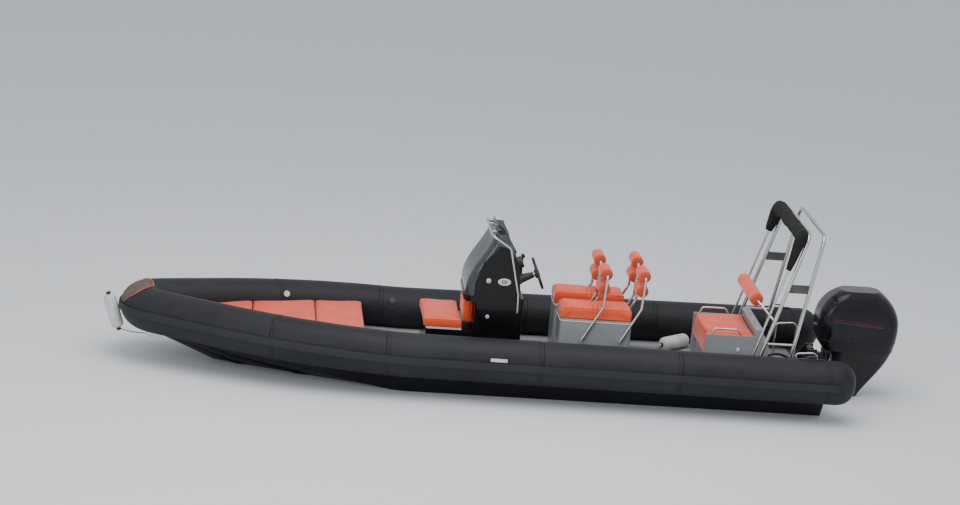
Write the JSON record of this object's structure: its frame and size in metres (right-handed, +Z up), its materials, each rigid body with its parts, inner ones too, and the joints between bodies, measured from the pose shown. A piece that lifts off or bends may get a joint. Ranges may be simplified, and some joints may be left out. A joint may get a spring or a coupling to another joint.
{
  "type": "rigid inflatable boat with outboard engine",
  "caption": "Rigid inflatable boat: deep-V hull in a buoyancy tube, console, tandem seat pods, stern bench, arch with folded canopy, and a steering, tilting outboard.",
  "frame": {"origin": "on the centre line, amidships, at the waterline", "axes": "+X aft, +Y starboard, +Z up"},
  "size_m": [8.389, 2.6738, 2.789],
  "materials": {
    "tube_fabric": "satin coated fabric",
    "strake_rubber": "moulded rubber",
    "patch_fabric": "coated fabric",
    "pad_rubber": "moulded",
    "valve_plastic": "moulded",
    "black_plastic": "moulded",
    "hull_gelcoat": "gloss gelcoat",
    "deck_gelcoat": "non-slip gelcoat",
    "console_gelcoat": "gloss gelcoat",
    "pod_gelcoat": "gloss gelcoat",
    "lid_gelcoat": "gloss gelcoat",
    "orange_vinyl": "upholstery vinyl",
    "smoked_acrylic": "polished",
    "stainless": "polished tube",
    "step_plastic": "ribbed",
    "black_canvas": "woven",
    "white_vinyl": "inflated vinyl",
    "black_rope": "braided",
    "engine_metal": "gloss paint",
    "engine_paint": "gloss paint",
    "propeller_metal": "polished steel",
    "engine_block": "cast"
  },
  "bodies": {
    "boat": {"buoyancy_tube": "tube_fabric", "rub_strake": "strake_rubber", "bow_patch": "patch_fabric", "side_pads": "pad_rubber", "inflation_valves": "valve_plastic", "carry_handles": "black_plastic", "hull": "hull_gelcoat", "deck": "deck_gelcoat", "bow_locker": "deck_gelcoat", "bow_cushion_aft": "orange_vinyl", "bow_cushion_middle": "orange_vinyl", "bow_cushion_forward": "orange_vinyl", "console": "console_gelcoat", "dash": "console_gelcoat", "windscreen": "smoked_acrylic", "console_rail": "stainless", "console_seat": "console_gelcoat", "console_seat_lid": "lid_gelcoat", "console_seat_cushion": "orange_vinyl", "console_backrest": "orange_vinyl", "helm_column": "black_plastic", "compass": "black_plastic", "throttle": "black_plastic", "pod_port": "pod_gelcoat", "pod_starboard": "pod_gelcoat", "saddle_port": "orange_vinyl", "saddle_starboard": "orange_vinyl", "backrest_frames_port": "stainless", "backrest_frames_starboard": "stainless", "backrest_rollers_port": "orange_vinyl", "backrest_rollers_starboard": "orange_vinyl", "stern_bench": "pod_gelcoat", "stern_cushion": "orange_vinyl", "bench_rails": "stainless", "arch_front_hoop": "stainless", "arch_rear_hoop": "stainless", "arch_steps": "step_plastic", "arch_rungs": "stainless", "well_rails": "stainless", "rigging_hoses": "black_plastic", "canopy_bow": "stainless", "canopy_cover": "black_canvas", "bolster_bar": "stainless", "stern_bolster": "orange_vinyl", "bow_fender": "white_vinyl", "bow_eye": "stainless", "bow_fender_line": "black_rope", "deck_fender": "white_vinyl", "clamp_bracket": "engine_metal"},
    "engine_tilt": {"swivel_bracket": "engine_metal"},
    "engine_steer": {"driveshaft_housing": "engine_metal", "gearcase": "engine_metal", "lower_cowl": "engine_paint", "upper_cowl": "engine_paint", "powerhead": "engine_block"},
    "propeller": {"propeller": "propeller_metal"},
    "wheel": {"steering_wheel": "black_plastic"}
  },
  "joints": [
    {"name": "outboard_tilt", "type": "hinge", "parent": "boat", "child": "engine_tilt", "pos_m": [3.412, 0, 0.47], "axis": [0, -1, 0], "range_deg": [0, 62]},
    {"name": "outboard_steer", "type": "hinge", "parent": "engine_tilt", "child": "engine_steer", "pos_m": [3.575, 0, 0.2], "axis": [0, 0, 1], "range_deg": [-30, 30]},
    {"name": "propeller_spin", "type": "hinge", "parent": "engine_steer", "child": "propeller", "pos_m": [4.02, 0, -0.615], "axis": [1, 0, 0], "continuous": true},
    {"name": "wheel_turn", "type": "hinge", "parent": "boat", "child": "wheel", "pos_m": [0.395, -0.3, 1.203], "axis": [-0.9272, 0, -0.3746], "range_deg": [-750, 750]}
  ],
  "couplings": [
    {"joint": "wheel_turn", "follows": "outboard_steer", "ratio": 25}
  ]
}
